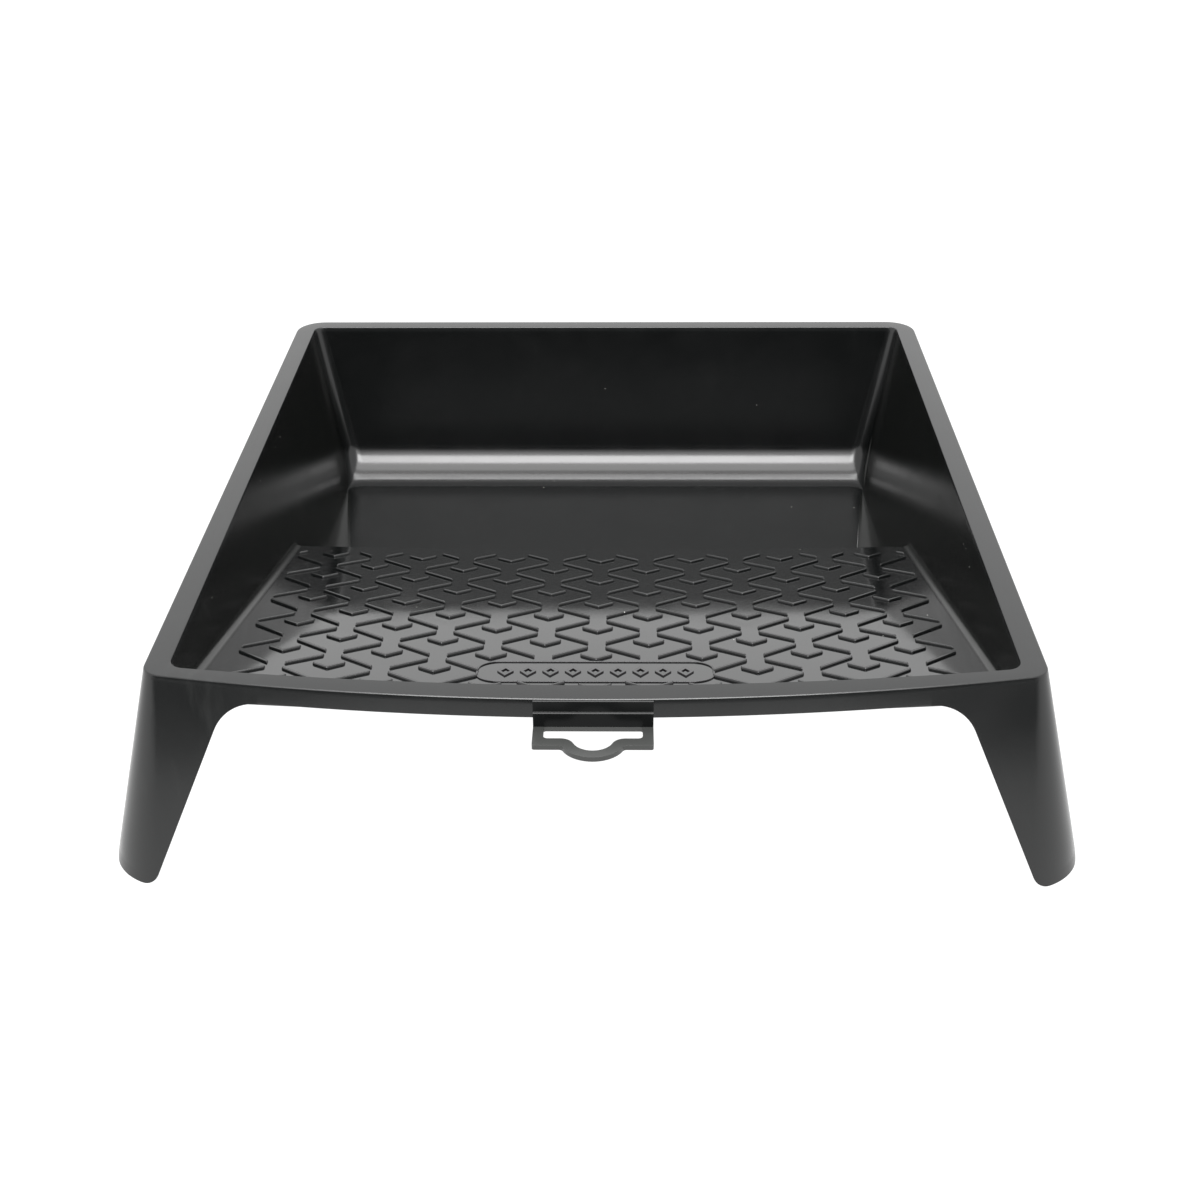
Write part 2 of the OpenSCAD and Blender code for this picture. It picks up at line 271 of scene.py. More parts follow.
def rim_sections(inside, outside):
    """inside and outside give the outline at a height; both have the same number of points."""
    low = RIM_TOP - WALL
    r_in = 0.3
    r_out = EDGE_ROUND
    top_in = inside(RIM_TOP)
    top_out = outside(RIM_TOP)
    under_in = inside(low)
    under_out = outside(low)
    side_in = inside(RIM_TOP - r_in)
    side_out = outside(RIM_TOP - r_out)
    sections = []
    for i in range(len(top_in)):
        a = top_in[i]
        b = top_out[i]
        sections.append([
            under_in[i],
            side_in[i],
            (*towards(a, b, 0.3 * r_in), RIM_TOP - 0.3 * r_in),
            (*towards(a, b, r_in), RIM_TOP),
            (*towards(b, a, r_out), RIM_TOP),
            (*towards(b, a, 0.3 * r_out), RIM_TOP - 0.3 * r_out),
            side_out[i],
            under_out[i],
        ])
    return sections


def straight_inside(z):
    x = -basin_half(z)
    return [(x, FRONT_CUT, z), (x, REAR_CUT, z)]


def straight_outside(z):
    x = -(HALF_WIDTH + depth(z) * FLARE)
    return [(x, FRONT_CUT, z), (x, REAR_CUT, z)]


def make_rim(finish):
    left = rim_sections(straight_inside, straight_outside)
    shapes = {
        "front_flange": ("rim_front", rim_sections(basin_front, outside_front)),
        "rear_flange": ("rim_rear", rim_sections(basin_rear, outside_rear)),
        "left_flange": ("rim_left", left),
        "right_flange": ("rim_right", mirrored(left)),
    }
    for name, (node, sections) in shapes.items():
        bm = bmesh.new()
        loft(bm, sections)
        finish_piece(name, bm, node, finish)


# ---- skirt

def skirt_sections(outside):
    """outside gives the outline at a height and inset."""
    top = RIM_TOP - WALL
    r = EDGE_ROUND
    loops = [
        outside(top),
        outside(SKIRT_LOW + r),
        outside(SKIRT_LOW + 0.3 * r, 0.3 * r),
        outside(SKIRT_LOW, r),
        outside(SKIRT_LOW, SKIN - r),
        outside(SKIRT_LOW + 0.3 * r, SKIN - 0.3 * r),
        outside(SKIRT_LOW + r, SKIN),
        outside(top, SKIN),
    ]
    return [list(section) for section in zip(*loops)]


# Each leg is a corner of the outside, cut off so far across the front and so far along the side.
LEG_ACROSS = 29.0
LEG_ALONG = 30.0
LEG_LEAN = math.radians(23.4)
LEG_IN = HALF_WIDTH - LEG_ACROSS
LEG_FILLET = 16.6
LEG_REACH = LEG_FILLET * math.tan((math.pi / 2 - LEG_LEAN) / 2)
APRON_END = LEG_IN - LEG_REACH
LEG_SIDE_END = LEG_ALONG + LEG_REACH
FOOT_ROUND = 7.0
CORNER_FROM_X = 105
CORNER_TO_Y = 50


def apron_outside(z, inset=0.0):
    radius = FRONT_ARC + depth(z) * FLARE - inset
    count = 24
    xs = [TAB_HALF + (APRON_END - TAB_HALF) * i / count for i in range(count + 1)]
    return [(x, FRONT_ARC_Y - math.sqrt(radius ** 2 - x ** 2), z) for x in xs]


def side_outside(z, inset=0.0):
    x = HALF_WIDTH + depth(z) * FLARE - inset
    return [(x, LEG_SIDE_END, z), (x, REAR_CUT, z)]


def make_skirt(finish):
    apron = skirt_sections(apron_outside)
    side = skirt_sections(side_outside)
    shapes = {
        "right_front_skirt": ("apron_right", apron),
        "left_front_skirt": ("apron_left", mirrored(apron)),
        "right_side_skirt": ("skirt_right", side),
        "left_side_skirt": ("skirt_left", mirrored(side)),
        "rear_skirt": ("skirt_rear", skirt_sections(outside_rear)),
    }
    for name, (node, sections) in shapes.items():
        bm = bmesh.new()
        loft(bm, sections)
        finish_piece(name, bm, node, finish)


# ---- legs

def corner_path(z, inset):
    """Dense path of the right front corner, from the front to the side."""
    o = depth(z) * FLARE - inset
    half = HALF_WIDTH + o
    radius = FRONT_ARC + o
    corner = outer_radius(z) - inset
    y = corner_y(FRONT_ARC_Y, radius, half, corner)
    at = math.degrees(math.atan2(y - FRONT_ARC_Y, half - corner))
    start = -math.degrees(math.acos(CORNER_FROM_X / radius))
    path = arc((0, FRONT_ARC_Y), radius, start, at, 40)
    path += arc((half - corner, y), corner, at, 0, 60)[1:]
    return path + [(half, y + (CORNER_TO_Y - y) * i / 20) for i in range(1, 21)]


def clipped(path, near_x, far_y, count):
    """The part of the path between two limits, with points closer together where it curves."""
    kept = []
    for a, b in zip(path, path[1:]):
        if not kept and b[0] >= near_x:
            t = (near_x - a[0]) / (b[0] - a[0]) if b[0] > a[0] else 0
            kept.append((near_x, a[1] + (b[1] - a[1]) * max(0, t)))
        if kept and b[1] >= far_y and b[0] > near_x:
            t = (far_y - a[1]) / (b[1] - a[1])
            kept.append((a[0] + (b[0] - a[0]) * max(0, t), far_y))
            break
        if kept:
            kept.append(b)
    marks = [0.0]
    heading = None
    for a, b in zip(kept, kept[1:]):
        angle = math.atan2(b[1] - a[1], b[0] - a[0])
        turn = 0 if heading is None else abs(math.degrees(angle - heading))
        heading = angle
        marks.append(marks[-1] + math.dist(a, b) / 10 + turn / 7)
    points = []
    k = 0
    for i in range(count + 1):
        goal = marks[-1] * i / count
        while k < len(marks) - 2 and marks[k + 1] < goal:
            k += 1
        span = marks[k + 1] - marks[k]
        t = (goal - marks[k]) / span if span > 0 else 0
        a, b = kept[k], kept[k + 1]
        points.append((a[0] + (b[0] - a[0]) * t, a[1] + (b[1] - a[1]) * t))
    return points


def leg_levels():
    """Heights down the leg, each with where its inner edge is across the front."""
    levels = [(APRON_END, RIM_TOP - WALL)]
    levels += arc((APRON_END, SKIRT_LOW - LEG_FILLET), LEG_FILLET, 90, math.degrees(LEG_LEAN), 12)
    top = levels[-1]
    foot_corner = LEG_IN + SKIRT_LOW * math.tan(LEG_LEAN)
    reach = FOOT_ROUND / math.tan((math.pi / 2 + LEG_LEAN) / 2)
    foot = arc((foot_corner + reach, FOOT_ROUND), FOOT_ROUND, 180 + math.degrees(LEG_LEAN), 270, 8)
    for i in range(1, 10):
        t = i / 10
        levels.append((top[0] + (foot[0][0] - top[0]) * t, top[1] + (foot[0][1] - top[1]) * t))
    return levels + foot


def leg_sections():
    sections = []
    for edge_x, z in leg_levels():
        edge_y = LEG_IN + LEG_ALONG - edge_x
        count = 30
        outer = clipped(corner_path(z, 0), edge_x, edge_y, count)
        inner = clipped(corner_path(z, SKIN), edge_x, edge_y, count)
        sections.append(at_height(outer + inner[::-1], z))
    return sections


def make_legs(finish):
    sections = leg_sections()
    for name, node, shape in (
        ("right_front_leg", "right_leg", sections),
        ("left_front_leg", "left_leg", mirrored(sections)),
    ):
        bm = bmesh.new()
        loft(bm, shape)
        bmesh.ops.recalc_face_normals(bm, faces=bm.faces)
        soften(bm, 0.4, lambda e: max(v.co.z for v in e.verts) < SKIRT_LOW * MM - 1e-5)
        finish_piece(name, bm, node, finish)


# ---- basin

# How far a wall's solid runs on past its rounded foot, or the rear wall's past its corners.
RAMP_MARGIN = 0.4
WELL_MARGIN = 1.0
REAR_MARGIN = 1.5
# How much larger a radius is outside than inside: at a wall's foot, and at a rear corner.
BACK_GROWTH = 1.5
CORNER_GROWTH = 1.6


def front_wall_sections():
    """The upstand inside the front rim, its foot rounded into the ramp."""
    top = basin_front(RIM_TOP)
    probe = basin_front(RIM_TOP - 1)
    sections = []
    for i, (p, q) in enumerate(zip(top, probe)):
        if i in (0, len(top) - 1):
            inward = Vector((1 if p[0] < 0 else -1, 0))
        else:
            inward = Vector((q[0] - p[0], q[1] - p[1])).normalized()
        fall = SLOPE * inward.y
        z = (ramp_z(p[1]) - fall * DRAFT * RIM_TOP) / (1 - fall * DRAFT)
        foot = (depth(z) * DRAFT, z)
        head = (WALL * DRAFT, RIM_TOP - WALL)
        away = (foot[0] + 10, foot[1] - 10 * fall)
        curve = rounded(head, foot, away, FOOT_FILLET, FOOT_STEPS)
        last = curve[-1]
        margin = (last[0] + RAMP_MARGIN, last[1] - RAMP_MARGIN * fall)
        under = (margin[0], margin[1] - FLOOR_SKIN)
        out_foot = (foot[0] - SHELL, foot[1] - FLOOR_SKIN)
        out_top = (head[0] - SHELL, head[1])
        back = rounded(under, out_foot, out_top, 1.0, 3)
        outline = [head] + curve + [margin, under] + back + [out_top]
        sections.append([(p[0] + inward.x * s, p[1] + inward.y * s, z) for s, z in outline])
    return sections


def ramp_margin(y):
    """Half width of the flat of the ramp, between the rounded feet of the side walls."""
    reach = FOOT_FILLET / math.tan(math.radians(FOOT_HALF_ANGLE))
    return basin_half(ramp_z(y)) - reach - RAMP_MARGIN


def step_y(x, z):
    """How far back the face of the step is, at a place across the tray and a height."""
    radius = STEP_ARC - (RAMP_END_Z - z) * DRAFT
    return RAMP_END + STEP_ARC - math.sqrt(radius ** 2 - x ** 2)


def climb(low, high, count):
    """Points up a straight wall, between its foot and its head."""
    return [(low[0] + (high[0] - low[0]) * i / count, low[1] + (high[1] - low[1]) * i / count)
            for i in range(1, count)]


def side_section(y_at, z_floor, fillet, margin, skin, count):
    """Outline of the right wall: y_at gives its place along the tray at each (x, z)."""
    head = (basin_half(RIM_TOP - WALL), RIM_TOP - WALL)
    foot = (basin_half(z_floor), z_floor)
    curve = rounded(head, foot, (foot[0] - 50, z_floor), fillet, count)
    inner_end = (curve[-1][0] - margin, z_floor)
    under = (inner_end[0], z_floor - skin)
    out_foot = (foot[0] + SHELL - skin * DRAFT, z_floor - skin)
    out_top = (head[0] + SHELL, head[1])
    back = rounded(under, out_foot, out_top, fillet + BACK_GROWTH, count)
    inner = climb(curve[0], head, 20)[::-1]
    outer = climb(back[-1], out_top, 20)
    outline = [head] + inner + curve + [inner_end, under] + back + outer + [out_top]
    return [(x, y_at(x, z), z) for x, z in outline]


def ramp_side_sections():
    sections = []
    count = 12
    for i in range(count + 1):
        t = i / count

        def y_at(x, z):
            return FRONT_CUT + (step_y(x, RAMP_END_Z) - FRONT_CUT) * t

        y = FRONT_CUT + (RAMP_SIDE_END - FRONT_CUT) * t
        section = side_section(y_at, ramp_z(y), FOOT_FILLET, RAMP_MARGIN, FLOOR_SKIN, FOOT_STEPS)
        sections.append(section)
    return sections


# The foot of the rear wall is bent twice: off the wall, then on to the floor.
BEVEL_TOP_Z = 8.5
BEVEL_SLOPE = 27.0
UPPER_BEND = 18.0
LOWER_BEND = 14.0


def rear_profile(skin):
    """Points (y, z) up the rear wall from the well floor: its face, or its back for a skin of WALL."""
    shallow = math.radians(BEVEL_SLOPE)
    steep = math.radians(90 - DRAFT_ANGLE)
    top_z = RIM_TOP - WALL
    bevel_top = Vector((BASIN_REAR - depth(BEVEL_TOP_Z) * DRAFT, BEVEL_TOP_Z))
    bevel_foot = bevel_top - Vector((1 / math.tan(shallow), 1)) * (BEVEL_TOP_Z - WALL)
    middle = (shallow + steep) / 2
    outwards = skin / math.cos((steep - shallow) / 2)
    upper = bevel_top + Vector((math.sin(middle), -math.cos(middle))) * outwards
    outwards = skin / math.cos(shallow / 2)
    lower = bevel_foot + Vector((math.sin(shallow / 2), -math.cos(shallow / 2))) * outwards
    head = Vector((BASIN_REAR - WALL * DRAFT + skin / DRAFT_COS, top_z))
    path = rounded(lower - Vector((30, 0)), lower, upper, LOWER_BEND + skin, 8)
    path += rounded(lower, upper, head, UPPER_BEND + skin, 12)
    foot = path[-1]
    for i in range(1, 7):
        path.append((foot[0] + (head[0] - foot[0]) * i / 6, foot[1] + (head[1] - foot[1]) * i / 6))
    return path


REAR_FACE = rear_profile(0.0)
FLOOR_END = REAR_FACE[0][0]

# The upright rear corners keep their widest radius up to a height, then tighten to the rim.
CORNER_WIDEST = 7.0
CORNER_WIDEST_Z = 12.0


def rear_corner(z):
    """Radius of the upright corner between a side wall and the rear wall."""
    t = max(0, min(1, (z - CORNER_WIDEST_Z) / (RIM_TOP - CORNER_WIDEST_Z)))
    return CORNER_WIDEST + (BASIN_REAR_RADIUS - CORNER_WIDEST) * t


def rear_face_y(z):
    """Place along the tray of the rear wall's face at a height."""
    for (y, low), (y_next, high) in zip(REAR_FACE, REAR_FACE[1:]):
        if z <= high:
            return y + (y_next - y) * max(0, z - low) / (high - low)
    return BASIN_REAR - depth(z) * DRAFT


def rear_seam(z):
    """Where a side wall ends and the rear wall's rounded corner starts, at a height."""
    return rear_face_y(max(WALL, z)) - rear_corner(z) - REAR_MARGIN


def rear_wall_sections():
    face = REAR_FACE
    back = rear_profile(WALL)
    sections = []
    for (y, z), (y_back, z_back) in zip(face, back):
        corner = rear_corner(z)
        inner = rear_path(basin_half(z), y, corner, rear_seam(z))
        half = basin_half(z_back) + SHELL
        outer = rear_path(half, y_back, corner + CORNER_GROWTH, rear_seam(z_back))
        sections.append(at_height(inner, z) + at_height(outer, z_back)[::-1])
    return sections


WELL_FILLET = 20.5
WELL_FILLET_LOSS = 19.3


def well_fillet(t):
    """Radius between side wall and well floor: wide at the step (t = 0), nearly sharp at the rear."""
    return WELL_FILLET - WELL_FILLET_LOSS * t ** 0.9


def well_side_sections():
    sections = []
    count = 20
    for i in range(count + 1):
        t = i / count

        def y_at(x, z):
            start = step_y(x, RAMP_END_Z) + 2 * HAIRLINE
            return start + (rear_seam(z) - start) * t

        sections.append(side_section(y_at, WALL, well_fillet(t), WELL_MARGIN, WALL, 12))
    return sections


def well_flat(t):
    """Half width of the flat of the well floor, between the rounded feet of the side walls."""
    reach = well_fillet(t) / math.tan(math.radians(FOOT_HALF_ANGLE))
    return basin_half(WALL) - reach - WELL_MARGIN


def floor_sections():
    """The flat of the well floor, between the feet of its walls."""
    sections = []
    start = step_y(RAMP_END_HALF, RAMP_END_Z)
    corner = rear_corner(WALL)
    end = FLOOR_END - corner - REAR_MARGIN
    count = 20
    for i in range(count + 1):
        t = i / count
        half = well_flat(t)
        y = start + (end - start) * t
        sections.append([(-half, y, WALL), (half, y, WALL), (half, y, 0), (-half, y, 0)])
    middle = basin_half(WALL) - corner
    ends = [(basin_half(WALL), end + HAIRLINE)]
    ends += arc((middle, FLOOR_END - corner), corner, 0, 90, 10)
    for half, y in ends:
        sections.append([(-half, y, WALL), (half, y, WALL), (half, y, 0), (-half, y, 0)])
    return sections


def ramp_sections():
    """The ramp from side to side, its far edge rounded over."""
    feet = [section[FOOT_STEPS + 2][:2] for section in front_wall_sections()]
    sections = []
    for x, y in feet:
        share = x / ramp_margin(y)
        far_y = step_y(share * RAMP_END_HALF, RAMP_END_Z)
        far_x = share * ramp_margin(far_y)
        far = (far_y, ramp_z(far_y))
        low = (far_y + FLOOR_SKIN * DRAFT, far[1] - FLOOR_SKIN)
        near = (y, ramp_z(y))
        curve = rounded(near, far, low, 0.8, 4)
        outline = [near] + curve + [low, (y, near[1] - FLOOR_SKIN)]
        xs = [x] + [far_x] * (len(curve) + 1) + [x]
        sections.append([(sx, sy, sz) for sx, (sy, sz) in zip(xs, outline)])
    return sections


# The step's lower edge follows the side wall's rounded foot, out to this share of its radius.
STEEPEST = 0.97
STEP_REACH = 131.5


def well_surface(x, skin):
    """Height of the well floor at the step, or of its underside for a skin of WALL."""
    fillet = well_fillet(0)
    across = abs(x) - (basin_half(WALL + fillet) - fillet / DRAFT_COS)
    radius = fillet + skin
    return WALL + fillet - math.sqrt(radius ** 2 - min(radius * STEEPEST, max(0, across)) ** 2)


def step_sections():
    """The step down from the ramp's end to the well floor."""
    top = RAMP_END_Z - FLOOR_SKIN
    sections = []
    count = 60
    for i in range(count + 1):
        x = -STEP_REACH + 2 * STEP_REACH * i / count
        z_foot = well_surface(x, 0)
        foot = (step_y(x, z_foot), z_foot)
        z_top = ramp_z(step_y(x, top)) - FLOOR_SKIN
        head = (step_y(x, z_top), z_top)
        curve = rounded(head, foot, (foot[0] + 20, z_foot), min(3, (z_top - z_foot) / 4), 6)
        low = well_surface(x, WALL)
        outline = [head] + curve
        outline += [(curve[-1][0], low), (foot[0] - SHELL, low), (head[0] - SHELL, z_top)]
        sections.append([(x, y, z) for y, z in outline])
    return sections


def make_basin(finish, side_wear_and_painted_shade_finish, end_finish, painted_shade_floor_finish, ramp_finish):
    ramp_side = ramp_side_sections()
    well_side = well_side_sections()
    for name, node, turn in (
        ("right_basin_wall", "right_wall", list),
        ("left_basin_wall", "left_wall", mirrored),
    ):
        bm = bmesh.new()
        loft(bm, turn(ramp_side))
        loft(bm, turn(well_side))
        finish_piece(name, bm, node, side_wear_and_painted_shade_finish)
    shapes = {
        "front_upstand": ("front_wall", front_wall_sections(), finish),
        "deep_end_wall": ("rear_wall", rear_wall_sections(), end_finish),
        "roll_off_ramp": ("ramp", ramp_sections(), ramp_finish),
        "step_below_ramp": ("well_step", step_sections(), finish),
        "paint_well_floor": ("well_floor", floor_sections(), painted_shade_floor_finish),
    }
    for name, (node, sections, material) in shapes.items():
        bm = bmesh.new()
        loft(bm, sections)
        finish_piece(name, bm, node, material)


# ---- ribs on the ramp, drawn in its own plane: across, up the slope, off the surface

RIB_PITCH = 18.75
RIB_ROW = 15.28
RIB_WIDTH = 1.6
RIB_HEIGHT = 0.8
RIB_ROUND = 0.55
RIB_GAP = 3.1
RIB_FIRST = 27.0
COLUMNS = 7
ROWS = 9
BADGE_HALF = 41.25
BADGE_NEAR = 19.0
BADGE_FAR = 39.5
BADGE_RADIUS = 8.0
BADGE_CLEAR = 0.6
CHEVRON_REACH = 5.7
CHEVRON_RISE = 4.7
LOZENGE_PITCH = 7.8
LOZENGE = (2.9, 4.8)
LOZENGE_HOLE = (1.5, 2.5)
SUNK = 0.3


def on_ramp(x, along, off):
    """A point on the slope as a point of the tray."""
    y = along * SLOPE_COS + off * SLOPE * SLOPE_COS
    z = ramp_z(0) - along * SLOPE * SLOPE_COS + off * SLOPE_COS
    return (x, y, z)


def row_bow(x):
    """How far up the slope a row of ribs is bowed at a place across it."""
    return 8.8 * (x / 112.5) ** 2


def near_limit(x):
    """Where the ribs start, behind the foot of the front upstand."""
    return (BASIN_FRONT + 3.5 + x * x / (2 * BASIN_ARC)) / SLOPE_COS


def far_limit(x):
    """Where the ribs end, short of the ramp's far edge."""
    return (RAMP_END - 10.8 + 6.3 * (x / 128) ** 2) / SLOPE_COS


def kept_rib(a, b, near, away):
    """The part of the rib from a to b that lies between two limits up the slope, or None."""
    rise = b[1] - a[1]
    t0 = (near - a[1]) / rise
    t1 = (away - a[1]) / rise
    start = max(0, min(t0, t1))
    end = min(1, max(t0, t1))
    if end - start <= 0.08:
        return None
    return [(a[0] + (b[0] - a[0]) * t, a[1] + rise * t) for t in (start, end)]


def rib_outline(a, b):
    up = RIB_WIDTH / 2 / math.cos(math.atan2(b[1] - a[1], b[0] - a[0]))
    return [(a[0], a[1] - up), (b[0], b[1] - up), (b[0], b[1] + up), (a[0], a[1] + up)]


def zigzag_outlines():
    trim = RIB_GAP / RIB_PITCH
    outlines = []
    for j in range(-COLUMNS, COLUMNS):
        for m in range(-2, ROWS + 1):
            low = RIB_FIRST + (m + trim) * RIB_ROW
            high = RIB_FIRST + (m + 1 - trim) * RIB_ROW
            rising = (j + m) % 2 == 0
            xa = j * RIB_PITCH + RIB_GAP
            xb = (j + 1) * RIB_PITCH - RIB_GAP
            a = (xa, (low if rising else high) + row_bow(xa))
            b = (xb, (high if rising else low) + row_bow(xb))
            middle = (xa + xb) / 2
            near = near_limit(middle)
            away = far_limit(middle)
            if -2 <= j <= 1:
                if m >= 0:
                    near = (BADGE_FAR + BADGE_CLEAR) / SLOPE_COS
                else:
                    away = (BADGE_NEAR - BADGE_CLEAR) / SLOPE_COS
            rib = kept_rib(a, b, near, away)
            if rib:
                outlines.append(rib_outline(*rib))
    return outlines


def chevron_tips():
    """The tips of the chevrons that lie on the ramp and outside the badge."""
    tips = []
    for k in range(1 - COLUMNS, COLUMNS):
        for m in range(-1, ROWS + 1):
            x = k * RIB_PITCH
            tip = (x, RIB_FIRST + m * RIB_ROW + row_bow(x))
            inside_badge = abs(k) < 2 and m == 0
            clear = near_limit(x) < tip[1] + CHEVRON_RISE < far_limit(x) + 2
            if (k + m) % 2 != 0 and clear and not inside_badge:
                tips.append(tip)
    return tips


def chevron_outlines():
    outlines = []
    half = RIB_WIDTH / 2 / math.cos(math.atan2(CHEVRON_RISE, CHEVRON_REACH))
    for x, y in chevron_tips():
        near = near_limit(x)
        left = x - CHEVRON_REACH
        right = x + CHEVRON_REACH
        end = y + CHEVRON_RISE
        if y - half > near:
            outlines.append([
                (x, y - half), (right, end - half), (right, end + half),
                (x, y + half), (left, end + half), (left, end - half),
            ])
            continue
        for arm_x in (left, right):
            rib = kept_rib((x, y), (arm_x, end), near, LENGTH)
            if rib:
                outlines.append(rib_outline(*rib))
    return outlines


def raised(bm, outlines, height, edge):
    """Low solids that stand on the ramp, their upper edges rounded."""
    faces = []
    for outline in outlines:
        verts = [bm.verts.new(place(on_ramp(x, s, -SUNK))) for x, s in outline]
        faces.append(bm.faces.new(verts))
    raise_faces(bm, faces, height, edge)


def raise_faces(bm, faces, height, edge):
    """Draws faces out of the ramp and rounds the edges that end up above it."""
    made = bmesh.ops.extrude_face_region(bm, geom=faces)["geom"]
    tops = [v for v in made if isinstance(v, bmesh.types.BMVert)]
    lift = Vector((0, SLOPE * SLOPE_COS, SLOPE_COS)) * (height + SUNK) * MM
    bmesh.ops.translate(bm, verts=tops, vec=lift)
    bmesh.ops.recalc_face_normals(bm, faces=bm.faces)
    top_verts = set(tops)
    edges = [
        e for e in bm.edges
        if e.calc_face_angle(0) > math.radians(30) and any(v in top_verts for v in e.verts)
    ]
    bmesh.ops.bevel(
        bm, geom=edges, offset=edge * MM, offset_type="OFFSET", segments=4,
        profile=0.5, affect="EDGES", material=-1, clamp_overlap=True,
    )


def ring(bm, outer, inner):
    """The flat between two outlines on the ramp."""
    loops = []
    for outline in (outer, inner):
        verts = [bm.verts.new(place(on_ramp(x, s, -SUNK))) for x, s in outline]
        loops += [bm.edges.new((verts[i - 1], verts[i])) for i in range(len(verts))]
    return bmesh.ops.bridge_loops(bm, edges=loops)["faces"]


def badge_outline(grow):
    """The badge's rounded outline, grown all round."""
    w = BADGE_HALF + grow
    low = BADGE_NEAR / SLOPE_COS - grow
    high = BADGE_FAR / SLOPE_COS + grow
    r = BADGE_RADIUS + grow
    path = arc((w - r, low + r), r, -90, 0, 10)
    path += arc((w - r, high - r), r, 0, 90, 10)
    path += arc((-w + r, high - r), r, 90, 180, 10)
    return path + arc((-w + r, low + r), r, 180, 270, 10)


def make_ribs(finish):
    bm = bmesh.new()
    raised(bm, zigzag_outlines(), RIB_HEIGHT, RIB_ROUND)
    finish_piece("zigzag_grip_ribs", bm, "zigzag_ribs", finish)

    bm = bmesh.new()
    raised(bm, chevron_outlines(), RIB_HEIGHT, RIB_ROUND)
    finish_piece("chevron_grip_ribs", bm, "chevron_ribs", finish)

    bm = bmesh.new()
    raise_faces(bm, ring(bm, badge_outline(0.1), badge_outline(-0.6)), 0.42, 0.15)
    finish_piece("badge_frame", bm, "badge_border", finish)

    bm = bmesh.new()
    middle = (BADGE_NEAR + BADGE_FAR) / 2 / SLOPE_COS
    faces = []
    for i in range(-4, 5):
        x = i * LOZENGE_PITCH
        outer, inner = [
            [(x - w, middle), (x, middle - h), (x + w, middle), (x, middle + h)]
            for w, h in (LOZENGE, LOZENGE_HOLE)
        ]
        faces += ring(bm, outer, inner)
    raise_faces(bm, faces, 0.5, 0.15)
    finish_piece("badge_lozenge_row", bm, "badge_lozenges", finish)


# ---- hanging tab

TAB_TOP = RIM_TOP - 9.8
TAB_THICK = 1.7
WEB_Y = -FRONT_BOW
WEB_UPPER_Y = WEB_Y - 0.55
WEB_LOWER_Y = WEB_Y - 1.15
WEB_LEDGE_Z = RIM_TOP - 4.6
SLOT_Y = WEB_Y - 1.3
SLOT_HALF = 16.0
SLOT_FAR_Y = SLOT_Y - 6.6
PLATE_FRONT_Y = SLOT_FAR_Y - 4.3
BULGE_Y = SLOT_Y - 7


def bulge(y, radius, blend):
    """Round middle of the tab or the slot, blended into a straight line at y."""
    drop = BULGE_Y - (y - blend)
    dx = math.sqrt((radius + blend) ** 2 - drop * drop)
    a = math.degrees(math.atan2(drop, dx))
    path = arc((dx, y - blend), blend, 90, 180 - a, 6)
    path += arc((0, BULGE_Y), radius, -a, a - 180, 24)[1:-1]
    return path + arc((-dx, y - blend), blend, a, 90, 6)


def make_upright(finish):
    """The tab's upright, proud of the skirt, with a ledge half way down."""
    top = RIM_TOP - 0.4
    upper = WEB_UPPER_Y
    lower = WEB_LOWER_Y
    half = WEB_LEDGE_Z
    profile = [
        (WEB_Y + 0.6, top), (upper + 0.25, top), (upper, top - 0.25), (upper, half + 0.1),
        (upper - 0.1, half), (lower + 0.25, half), (lower, half - 0.25), (lower, TAB_TOP),
        (WEB_Y + WALL, TAB_TOP), (WEB_Y + WALL, RIM_TOP - WALL), (WEB_Y + 0.6, RIM_TOP - WALL),
    ]
    bm = bmesh.new()
    loft(bm, [[(x, y, z) for y, z in profile] for x in (-TAB_HALF, TAB_HALF)])
    finish_piece("tab_upright", bm, "tab_web", finish)


def make_plate(finish):
    """The level plate that the tray hangs by, with its slot."""
    w = TAB_HALF
    s = SLOT_HALF
    front = PLATE_FRONT_Y
    far_side = SLOT_FAR_Y
    outer = [(-w, WEB_Y + WALL), (w, WEB_Y + WALL)]
    outer += rounded((w, WEB_Y), (w, front), (0, front), 0.8, 4)
    outer += bulge(front, 10.7, 1.5)
    outer += rounded((0, front), (-w, front), (-w, WEB_Y), 0.8, 4)
    hole = rounded((-s, SLOT_Y - 5), (-s, SLOT_Y), (0, SLOT_Y), 0.8, 4)
    hole += rounded((0, SLOT_Y), (s, SLOT_Y), (s, SLOT_Y - 5), 0.8, 4)
    hole += rounded((s, SLOT_Y), (s, far_side), (0, far_side), 1.4, 4)
    hole += bulge(far_side, 6.7, 4.5)
    hole += rounded((0, far_side), (-s, far_side), (-s, SLOT_Y), 1.4, 4)
    bm = bmesh.new()
    loops = []
    for path in (outer, hole):
        verts = [bm.verts.new(place((x, y, TAB_TOP - TAB_THICK))) for x, y in path]
        loops += [bm.edges.new((verts[i - 1], verts[i])) for i in range(len(verts))]
    plate = bmesh.ops.triangle_fill(bm, use_beauty=True, edges=loops)["geom"]
    plate = [f for f in plate if isinstance(f, bmesh.types.BMFace)]
    made = bmesh.ops.extrude_face_region(bm, geom=plate)["geom"]
    tops = [v for v in made if isinstance(v, bmesh.types.BMVert)]
    bmesh.ops.translate(bm, verts=tops, vec=(0, 0, TAB_THICK * MM))
    bmesh.ops.recalc_face_normals(bm, faces=bm.faces)
    web = (WEB_Y - MIDDLE) * MM

    def level_and_in_front(edge):
        a, b = edge.verts
        return a.co.y < web and b.co.y < web and abs(a.co.z - b.co.z) < 1e-6

    soften(bm, 0.22, level_and_in_front)
    finish_piece("hanging_plate", bm, "hang_tab", finish)


# ---- finishes

